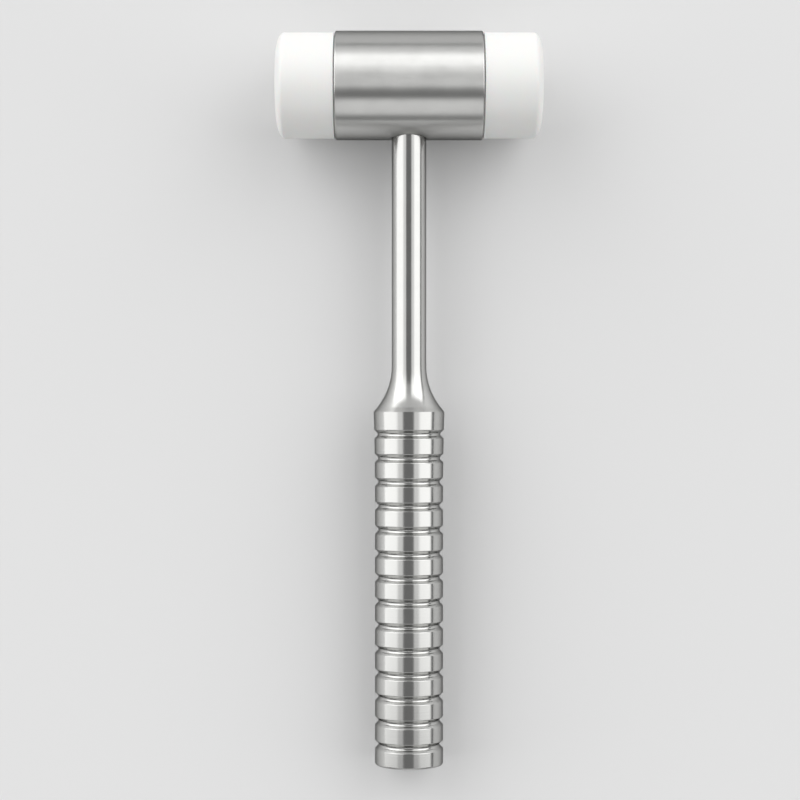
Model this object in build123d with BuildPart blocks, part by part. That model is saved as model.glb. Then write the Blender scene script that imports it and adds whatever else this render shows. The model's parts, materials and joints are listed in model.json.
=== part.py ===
"""Surgical mallet: a steel head with two nylon faces, on a handle turned from one bar.

The mallet lies on a table as it comes to rest, on the side of its head and on the rim of its grip.
Millimetres. +Z is up, X runs along the head, +Y runs from the grip towards the head, and the
origin is on the table, under the middle of the mallet's box.
"""

import os
from math import acos, asin, atan2, cos, degrees, hypot, radians, sin, sqrt, tan

from build123d import *

os.makedirs("parts", exist_ok=True)

# The head, a plain steel cylinder
head_diameter = 27.3
head_length = 37.0
head_edge_radius = 0.35

# The two nylon faces, each with the stud that screws into the head
face_diameter = 26.4
face_length = 14.85
face_edge_depth = 2.1
face_edge_width = 4.8
face_step_width = 0.3
face_step_depth = 0.8
stud_diameter = 12.0
stud_length = 9.0
stud_tip_chamfer = 1.0
stud_relief_width = 1.5
stud_relief_depth = 1.0

# The handle: spigot, shaft, flare and grooved grip
spigot_diameter = 6.0
spigot_length = 8.0
spigot_chamfer = 0.6
seat_depth = 2.0
shaft_diameter = 8.7
shoulder_distance = 82.2
flare_radius = 16.5
flare_lip = 0.9
grip_diameter = 17.16
grip_swell = 0.35
grip_swell_length = 22.0
grip_end_radius = 0.5

# The grip's grooves
groove_count = 14
groove_pitch = 6.0
groove_width = 2.2
groove_angle = 90.0
groove_root_radius = 0.58
groove_edge_radius = 0.2
first_land = 5.65
last_land = 5.1

# Fits and drilled ends
thread_clearance = 0.1
seat_clearance = 0.12
bore_end_gap = 1.0
bore_mouth_chamfer = 0.6
seat_edge_break = 0.45
drill_point_angle = 118.0

# Sizes that follow from the ones above
head_radius = head_diameter / 2
head_half = head_length / 2
face_radius = face_diameter / 2
face_end = head_half + face_length
stud_radius = stud_diameter / 2
shaft_radius = shaft_diameter / 2
spigot_radius = spigot_diameter / 2
grip_radius = grip_diameter / 2
shoulder_radius = grip_radius + grip_swell
grip_length = first_land + (groove_count - 1) * groove_pitch + last_land
handle_end = shoulder_distance + grip_length
seat_distance = head_radius - seat_depth

# The flare is an arc that leaves the shaft smoothly, and a short cone up to the grip's shoulder
flare_rise = shoulder_radius - shaft_radius - flare_lip
flare_angle = acos(1 - flare_rise / flare_radius)
flare_start = shoulder_distance - flare_radius * sin(flare_angle) - flare_lip / tan(flare_angle)

# The grip swells towards its shoulder on a long arc, which starts at swell_start
swell_radius = (grip_swell_length**2 + grip_swell**2) / (2 * grip_swell)
swell_start = shoulder_distance + grip_swell_length

# At rest the head's side and the rounded rim of the grip touch the table, which tilts the handle
rim_distance = handle_end - grip_end_radius
rim_radius = grip_radius - grip_end_radius
rim_drop = head_radius - grip_end_radius
rest_tilt = asin(rim_drop / hypot(rim_distance, rim_radius)) - atan2(rim_radius, rim_distance)
rest_reach = rim_distance * cos(rest_tilt) + rim_radius * sin(rest_tilt) + grip_end_radius
head_y = (rest_reach - head_radius) / 2

# The section holds the head's axis and the handle's: x along the head, y from the grip to the head
section = Plane(
    origin=(0, head_y, head_radius),
    x_dir=(1, 0, 0),
    z_dir=(0, -sin(rest_tilt), cos(rest_tilt)),
)
head_axis = Axis(section.origin, section.x_dir)
handle_axis = Axis(section.origin, section.y_dir)


def grip_surface(distance):
    """The grip's radius before grooving, at a distance from the head's axis."""
    swell_reach = max(swell_start - distance, 0)
    return grip_radius + swell_radius - sqrt(swell_radius**2 - swell_reach**2)


# Head: a cylinder with a drilled and tapped socket in each end, and the handle's seat underneath
socket_radius = stud_radius + thread_clearance
socket_floor = head_half - stud_length - bore_end_gap
socket_tip = socket_floor - socket_radius / tan(radians(drill_point_angle / 2))
seat_radius = shaft_radius + seat_clearance
spigot_bore_radius = spigot_radius + thread_clearance

with BuildPart() as head:
    with BuildSketch(section) as head_outline:
        with BuildLine():
            Polyline(
                (socket_tip, 0),
                (socket_floor, socket_radius),
                (head_half - bore_mouth_chamfer, socket_radius),
                (head_half, socket_radius + bore_mouth_chamfer),
                (head_half, head_radius),
                (0, head_radius),
                (0, 0),
                close=True,
            )
        make_face()
        head_corner = head_outline.vertices().sort_by(Axis.X)[-2:].sort_by(Axis.Y)[-1]
        fillet(head_corner, head_edge_radius)
    revolve(axis=head_axis)
    mirror(about=Plane.YZ)

    underside = Plane(section.from_local_coords((0, -head_radius, 0)), z_dir=-section.y_dir)
    with Locations(underside):
        CounterBoreHole(
            radius=spigot_bore_radius,
            counter_bore_radius=seat_radius,
            counter_bore_depth=seat_depth,
            depth=seat_depth + spigot_length + bore_end_gap,
        )
    seat_mouth = head.edges().filter_by(GeomType.CIRCLE, reverse=True).filter_by(
        lambda edge: abs(edge.bounding_box().size.X - 2 * seat_radius) < 0.01
    )
    chamfer(seat_mouth, seat_edge_break)

head.part.label = "head"
export_step(head.part, "parts/head.step")


# Nylon faces: the stud, its relief, the stepped seat on the head and the rounded striking end
relief_radius = stud_radius - stud_relief_depth
stud_tip = head_half - stud_length

with BuildPart() as nylon_face_right:
    with BuildSketch(section):
        with BuildLine():
            Polyline(
                (face_end, 0),
                (stud_tip, 0),
                (stud_tip, stud_radius - stud_tip_chamfer),
                (stud_tip + stud_tip_chamfer, stud_radius),
                (head_half - stud_relief_width - stud_relief_depth, stud_radius),
                (head_half - stud_relief_width, relief_radius),
                (head_half, relief_radius),
                (head_half, face_radius - face_step_depth),
                (head_half + face_step_width, face_radius - face_step_depth),
                (head_half + face_step_width, face_radius),
                (face_end - face_edge_depth, face_radius),
            )
            edge_round = EllipticalCenterArc(
                (face_end - face_edge_depth, face_radius - face_edge_width),
                face_edge_depth,
                face_edge_width,
                start_angle=0,
                arc_size=90,
            )
            Line(edge_round @ 0, (face_end, 0))
        make_face()
    revolve(axis=head_axis)

nylon_face_right.part.label = "nylon_face_right"
export_step(nylon_face_right.part, "parts/nylon_face_right.step")

with BuildPart() as nylon_face_left:
    mirror(nylon_face_right.part, about=Plane.YZ)

nylon_face_left.part.label = "nylon_face_left"
export_step(nylon_face_left.part, "parts/nylon_face_left.step")


# Handle: its half outline from the spigot to the grip's end, with the grooves cut from it
groove_depth_sharp = groove_width / 2 / tan(radians(groove_angle / 2))
groove_overcut = 1.0
cutter_height = groove_depth_sharp + groove_overcut
cutter_half = cutter_height * tan(radians(groove_angle / 2))
first_mouth = shoulder_distance + first_land / 4
last_mouth = handle_end - last_land / 4
spigot_top = -seat_distance + spigot_length

with BuildPart() as handle:
    with BuildSketch(section) as handle_outline:
        with BuildLine():
            Polyline(
                (0, -handle_end),
                (0, spigot_top),
                (spigot_radius - spigot_chamfer, spigot_top),
                (spigot_radius, spigot_top - spigot_chamfer),
                (spigot_radius, -seat_distance),
                (shaft_radius, -seat_distance),
                (shaft_radius, -flare_start),
            )
            flare = JernArc(
                start=(shaft_radius, -flare_start),
                tangent=(0, -1),
                radius=flare_radius,
                arc_size=degrees(flare_angle),
            )
            shoulder = Line(flare @ 1, (shoulder_radius, -shoulder_distance))
            swell = TangentArc(
                (grip_radius, -swell_start),
                shoulder @ 1,
                tangent=(0, 1),
            )
            Polyline(swell @ 0, (grip_radius, -handle_end), (0, -handle_end))
        make_face()

        for index in range(groove_count):
            groove_distance = shoulder_distance + first_land + index * groove_pitch
            root_radius = grip_surface(groove_distance) - groove_depth_sharp
            with BuildLine():
                flanks = FilletPolyline(
                    (root_radius + cutter_height, cutter_half - groove_distance),
                    (root_radius, -groove_distance),
                    (root_radius + cutter_height, -cutter_half - groove_distance),
                    radius=groove_root_radius,
                )
                Line(flanks @ 1, flanks @ 0)
            make_face(mode=Mode.SUBTRACT)

        groove_mouths = handle_outline.vertices().filter_by(
            lambda corner: abs(corner.X - grip_surface(-corner.Y)) < 0.01
            and first_mouth < -corner.Y < last_mouth
        )
        fillet(groove_mouths, groove_edge_radius)
        rim = handle_outline.vertices().sort_by(Axis.Y)[:2].sort_by(Axis.X)[-1]
        fillet(rim, grip_end_radius)
    revolve(axis=handle_axis)

handle.part.label = "handle"
export_step(handle.part, "parts/handle.step")

print(f"rest tilt {degrees(rest_tilt):.3f} degrees, flare {degrees(flare_angle):.1f} degrees")
print(f"grip {grip_length:.2f} mm, overall {head_radius + handle_end:.2f} mm")
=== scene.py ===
import json
from math import radians

import bpy
from mathutils import Matrix, Vector

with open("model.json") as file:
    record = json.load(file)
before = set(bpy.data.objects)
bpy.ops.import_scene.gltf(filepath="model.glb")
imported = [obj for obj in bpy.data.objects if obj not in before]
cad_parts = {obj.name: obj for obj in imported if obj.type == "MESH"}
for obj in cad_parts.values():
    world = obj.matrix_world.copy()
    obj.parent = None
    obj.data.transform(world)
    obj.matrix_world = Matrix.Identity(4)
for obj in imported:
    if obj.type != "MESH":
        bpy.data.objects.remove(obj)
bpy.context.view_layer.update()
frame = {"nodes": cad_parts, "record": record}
nodes = frame["nodes"]


# The mallet's pose. It lies on its head's side and on the rim of its grip, so its handle slopes a
# little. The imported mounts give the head's centre and the end of the grip, and so that slope.
mounts = {mount["name"]: mount for mount in frame["record"]["mounts"]}
head_centre = (
    Vector(mounts["strike_face_left"]["pos_m"]) + Vector(mounts["strike_face_right"]["pos_m"])
) / 2
grip_end = Vector(mounts["grip_end"]["pos_m"])
head_axis = Vector((1, 0, 0))
handle_axis = (head_centre - grip_end).normalized()
upward = head_axis.cross(handle_axis)


# The head. It is turned from stainless bar and satin finished, and the nylon faces and the handle
# screw into it. Fine marks run round it, so its reflections stay crisp round the cylinder and smear
# along it. They are drawn coarser than real ones, so that they show.
MM = 0.001
SATIN_HEXES = ("#C6C6C4", "#D0D0CE")
STEEL_EDGE_TINT = (0.32, 0.32, 0.32, 1.0)
HEAD_MARK_SPACING = 0.5 * MM
HEAD_MARK_HEIGHT = 0.004 * MM
HEAD_WAVE_HEIGHT = 0.005 * MM
HEAD_ROUGHNESS = 0.31
HEAD_ANISOTROPY = 1.0
WAVE_SPACING = 3.5 * MM
CLOUD_SPACING = 5.0 * MM
POLISH_SPREAD = 0.25
FACING_FEED = 0.7
QUARTER_TURN = 0.25


def linear(hex_colour):
    """The linear RGBA of an sRGB hex colour."""
    channels = [int(hex_colour[place:place + 2], 16) / 255 for place in (1, 3, 5)]
    scaled = [c / 12.92 if c <= 0.04045 else ((c + 0.055) / 1.055) ** 2.4 for c in channels]
    return (*scaled, 1.0)


def add_node(tree, kind, settings=None, inputs=None):
    """Adds a node, with each input set to a value or linked to another node's output."""
    node = tree.nodes.new(kind)
    for name, value in (settings or {}).items():
        setattr(node, name, value)
    for socket, source in (inputs or {}).items():
        if isinstance(source, bpy.types.NodeSocket):
            tree.links.new(source, node.inputs[socket])
        else:
            node.inputs[socket].default_value = source
    return node


def new_material(name):
    """An empty node material, and its tree and output node."""
    material = bpy.data.materials.new(name)
    material.use_nodes = True
    material.node_tree.nodes.clear()
    output = add_node(material.node_tree, "ShaderNodeOutputMaterial")
    return material, material.node_tree, output


def finish_node(name, material):
    """Gives a CAD node its material."""
    for place in nodes[name].material_slots:
        place.material = material


def turning_marks(tree, axis, spacing, detail, blend):
    """Rings of tool marks about an axis through the head's centre, on sides and faced ends alike.

    Gives the place on the surface, the direction round the axis, and the height of the marks.
    """
    place = add_node(tree, "ShaderNodeTexCoord").outputs["Object"]
    from_centre = add_node(
        tree, "ShaderNodeVectorMath", {"operation": "SUBTRACT"}, {0: place, 1: head_centre}
    ).outputs["Vector"]
    round_the_axis = add_node(
        tree, "ShaderNodeVectorMath", {"operation": "CROSS_PRODUCT"}, {0: axis, 1: from_centre}
    ).outputs["Vector"]
    along = add_node(
        tree, "ShaderNodeVectorMath", {"operation": "DOT_PRODUCT"}, {0: axis, 1: from_centre}
    ).outputs["Value"]
    from_axis = add_node(
        tree, "ShaderNodeVectorMath", {"operation": "LENGTH"}, {0: round_the_axis}
    ).outputs["Value"]
    tool_path = add_node(
        tree, "ShaderNodeMath", {"operation": "MULTIPLY_ADD"}, {0: from_axis, 1: FACING_FEED, 2: along}
    ).outputs[0]
    marks = add_node(
        tree,
        "ShaderNodeTexNoise",
        {"noise_dimensions": "1D"},
        {"W": tool_path, "Scale": 1 / spacing, "Detail": detail, "Roughness": blend},
    ).outputs["Fac"]
    return place, round_the_axis, marks


def turned_steel(name, axis, hexes, roughness, anisotropy, mark_spacing, mark_height, wave_height):
    """Stainless steel turned about an axis, with marks, faint waves and a slightly uneven polish."""
    material, tree, output = new_material(name)
    place, round_the_axis, marks = turning_marks(tree, axis, mark_spacing, detail=2.0, blend=0.6)
    waves = add_node(
        tree,
        "ShaderNodeTexNoise",
        None,
        {"Vector": place, "Scale": 1 / WAVE_SPACING, "Detail": 1.0, "Roughness": 0.4},
    ).outputs["Fac"]
    cloud = add_node(
        tree,
        "ShaderNodeTexNoise",
        None,
        {"Vector": place, "Scale": 1 / CLOUD_SPACING, "Detail": 4.0, "Roughness": 0.6},
    ).outputs["Fac"]
    colour = add_node(
        tree,
        "ShaderNodeMix",
        {"data_type": "RGBA"},
        {0: cloud, 6: linear(hexes[0]), 7: linear(hexes[1])},
    ).outputs[2]
    worn = add_node(
        tree,
        "ShaderNodeMapRange",
        None,
        {
            "Value": cloud,
            "To Min": roughness * (1 - POLISH_SPREAD),
            "To Max": roughness * (1 + POLISH_SPREAD),
        },
    ).outputs["Result"]
    wavy = add_node(
        tree,
        "ShaderNodeBump",
        None,
        {"Height": waves, "Distance": wave_height, "Strength": 1.0},
    ).outputs["Normal"]
    marked = add_node(
        tree,
        "ShaderNodeBump",
        None,
        {"Height": marks, "Distance": mark_height, "Strength": 1.0, "Normal": wavy},
    ).outputs["Normal"]
    steel = add_node(
        tree,
        "ShaderNodeBsdfPrincipled",
        None,
        {
            "Base Color": colour,
            "Metallic": 1.0,
            "Roughness": worn,
            "Specular Tint": STEEL_EDGE_TINT,
            "Anisotropic": anisotropy,
            "Anisotropic Rotation": QUARTER_TURN,
            "Tangent": round_the_axis,
            "Normal": marked,
        },
    )
    tree.links.new(steel.outputs["BSDF"], output.inputs["Surface"])
    return material


satin_steel = turned_steel(
    "satin_turned_stainless",
    head_axis,
    SATIN_HEXES,
    HEAD_ROUGHNESS,
    HEAD_ANISOTROPY,
    HEAD_MARK_SPACING,
    HEAD_MARK_HEIGHT,
    HEAD_WAVE_HEIGHT,
)
finish_node("head", satin_steel)


# The handle. It is one piece, turned from stainless bar and polished, so it mirrors the studio in
# crisp bands that run down it. Its top screws into the head. Its marks too are drawn coarser than
# real ones.
POLISHED_HEXES = ("#B8B8B6", "#C2C2C0")
HANDLE_MARK_SPACING = 0.4 * MM
HANDLE_MARK_HEIGHT = 0.002 * MM
HANDLE_WAVE_HEIGHT = 0.003 * MM
HANDLE_ROUGHNESS = 0.17
HANDLE_ANISOTROPY = 0.6

polished_steel = turned_steel(
    "polished_turned_stainless",
    handle_axis,
    POLISHED_HEXES,
    HANDLE_ROUGHNESS,
    HANDLE_ANISOTROPY,
    HANDLE_MARK_SPACING,
    HANDLE_MARK_HEIGHT,
    HANDLE_WAVE_HEIGHT,
)
finish_node("handle", polished_steel)


# The nylon faces. They are turned from white nylon rod and screw into the head. Light sinks a little
# way into nylon, and its sheen is soft, with no gloss. The rings that the tool leaves are too fine to
# show, so they are drawn coarser than real ones.
NYLON_HEX = "#EAEAE8"
NYLON_ROUGHNESS = 0.38
NYLON_IOR = 1.53
NYLON_GLOW = 0.15
NYLON_GLOW_DEPTH = 1.0 * MM
NYLON_MARK_SPACING = 0.6 * MM
NYLON_MARK_HEIGHT = 0.012 * MM


def turned_nylon():
    """White nylon as it comes off the lathe."""
    material, tree, output = new_material("turned_white_nylon")
    marks = turning_marks(tree, head_axis, NYLON_MARK_SPACING, detail=1.0, blend=0.5)[-1]
    marked = add_node(
        tree,
        "ShaderNodeBump",
        None,
        {"Height": marks, "Distance": NYLON_MARK_HEIGHT, "Strength": 1.0},
    ).outputs["Normal"]
    nylon = add_node(
        tree,
        "ShaderNodeBsdfPrincipled",
        None,
        {
            "Base Color": linear(NYLON_HEX),
            "Roughness": NYLON_ROUGHNESS,
            "IOR": NYLON_IOR,
            "Subsurface Weight": NYLON_GLOW,
            "Subsurface Scale": NYLON_GLOW_DEPTH,
            "Normal": marked,
        },
    )
    tree.links.new(nylon.outputs["BSDF"], output.inputs["Surface"])
    return material


nylon = turned_nylon()
for side in ("left", "right"):
    finish_node(f"nylon_face_{side}", nylon)


# The table under the mallet: a plain pale sheet, wide enough for every view.
FLOOR_HEX = "#DEDEDE"
FLOOR_ROUGHNESS = 0.3
FLOOR_IOR = 1.45
FLOOR_SIZE = 40.0

bpy.ops.mesh.primitive_plane_add(size=FLOOR_SIZE, location=(0, 0, 0))
floor = bpy.context.object
floor.name = "table_top"
table_paint, tree, output = new_material("pale_table_paint")
paint = add_node(
    tree,
    "ShaderNodeBsdfPrincipled",
    None,
    {"Base Color": linear(FLOOR_HEX), "Roughness": FLOOR_ROUGHNESS, "IOR": FLOOR_IOR},
)
tree.links.new(paint.outputs["BSDF"], output.inputs["Surface"])
floor.data.materials.append(table_paint)


# The studio: a soft tent of light round the mallet, open where the camera looks in. Each panel is
# placed by two angles from the zenith, across the handle and along it, in degrees. The blur is the
# width of its soft edges, and a panel from -300 to 300 goes all the way round.
TENT_LEVEL = 0.24
PANELS = {
    "left": {"across": (-110, -20), "along": (-12, 58), "blur": (7, 12), "light": 0.95},
    "left_core": {"across": (-110, -39), "along": (-12, 58), "blur": (12, 12), "light": 0.75},
    "left_high": {"across": (-78, -14), "along": (18, 58), "blur": (12, 12), "light": 0.5},
    "right": {"across": (16, 79), "along": (-12, 52), "blur": (7, 12), "light": 0.95},
    "right_core": {"across": (34, 79), "along": (-12, 52), "blur": (12, 12), "light": 0.75},
    "right_high": {"across": (12, 76), "along": (18, 52), "blur": (12, 12), "light": 0.5},
    "far_wall": {"across": (-300, 300), "along": (30, 77), "blur": (24, 10), "light": 0.37},
    "far_skirting": {"across": (-300, 300), "along": (50, 77), "blur": (20, 10), "light": 0.19},
    "below_grip": {"across": (-60, 60), "along": (-73, -37), "blur": (14, 14), "light": 0.8},
}

world = bpy.data.worlds.new("studio")
bpy.context.scene.world = world
world.use_nodes = True
tree = world.node_tree
tree.nodes.clear()
direction = add_node(tree, "ShaderNodeTexCoord").outputs["Generated"]
parts = add_node(tree, "ShaderNodeSeparateXYZ", None, {"Vector": direction}).outputs
across_angle = add_node(
    tree, "ShaderNodeMath", {"operation": "ARCTAN2"}, {0: parts["X"], 1: parts["Z"]}
).outputs[0]
along_angle = add_node(tree, "ShaderNodeMath", {"operation": "ARCSINE"}, {0: parts["Y"]}).outputs[0]

light = TENT_LEVEL
for panel in PANELS.values():
    shape = panel["light"]
    for angle, limits, blur in zip(
        (across_angle, along_angle), (panel["across"], panel["along"]), panel["blur"]
    ):
        for edge, before, after in zip(limits, (0.0, 1.0), (1.0, 0.0)):
            fade = add_node(
                tree,
                "ShaderNodeMapRange",
                {"interpolation_type": "SMOOTHSTEP"},
                {
                    "Value": angle,
                    "From Min": radians(edge - blur / 2),
                    "From Max": radians(edge + blur / 2),
                    "To Min": before,
                    "To Max": after,
                },
            ).outputs["Result"]
            shape = add_node(
                tree, "ShaderNodeMath", {"operation": "MULTIPLY"}, {0: fade, 1: shape}
            ).outputs[0]
    light = add_node(tree, "ShaderNodeMath", {"operation": "ADD"}, {0: light, 1: shape}).outputs[0]

background = add_node(
    tree, "ShaderNodeBackground", None, {"Color": (1, 1, 1, 1), "Strength": light}
)
output = add_node(tree, "ShaderNodeOutputWorld")
tree.links.new(background.outputs["Background"], output.inputs["Surface"])


# The camera looks square onto the mallet from above, as the photograph does. Its place comes from
# where the middle of the head lies in the square picture, and from the size of a pixel.
PHOTO_SIDE = 800
PHOTO_AXIS_COLUMN = 409.0
PHOTO_HEAD_ROW = 85.7
PHOTO_SCALE = 0.2521 * MM
CAMERA_DISTANCE_PIXELS = 1900

camera_data = bpy.data.cameras.new("photo_camera")
camera = bpy.data.objects.new("photo_camera", camera_data)
bpy.context.scene.collection.objects.link(camera)
camera_data.sensor_width = 36.0
camera_data.lens = camera_data.sensor_width * CAMERA_DISTANCE_PIXELS / PHOTO_SIDE
camera_data.clip_start = 0.01
right_shift = (PHOTO_SIDE / 2 - PHOTO_AXIS_COLUMN) * PHOTO_SCALE
down_shift = (PHOTO_SIDE / 2 - PHOTO_HEAD_ROW) * PHOTO_SCALE
aim = head_centre + head_axis * right_shift - handle_axis * down_shift
eye = aim + upward * (CAMERA_DISTANCE_PIXELS * PHOTO_SCALE)
turn = Matrix((head_axis, handle_axis, upward)).transposed().to_4x4()
camera.matrix_world = Matrix.Translation(eye) @ turn
bpy.context.scene.camera = camera

bpy.context.scene.view_settings.view_transform = "Standard"
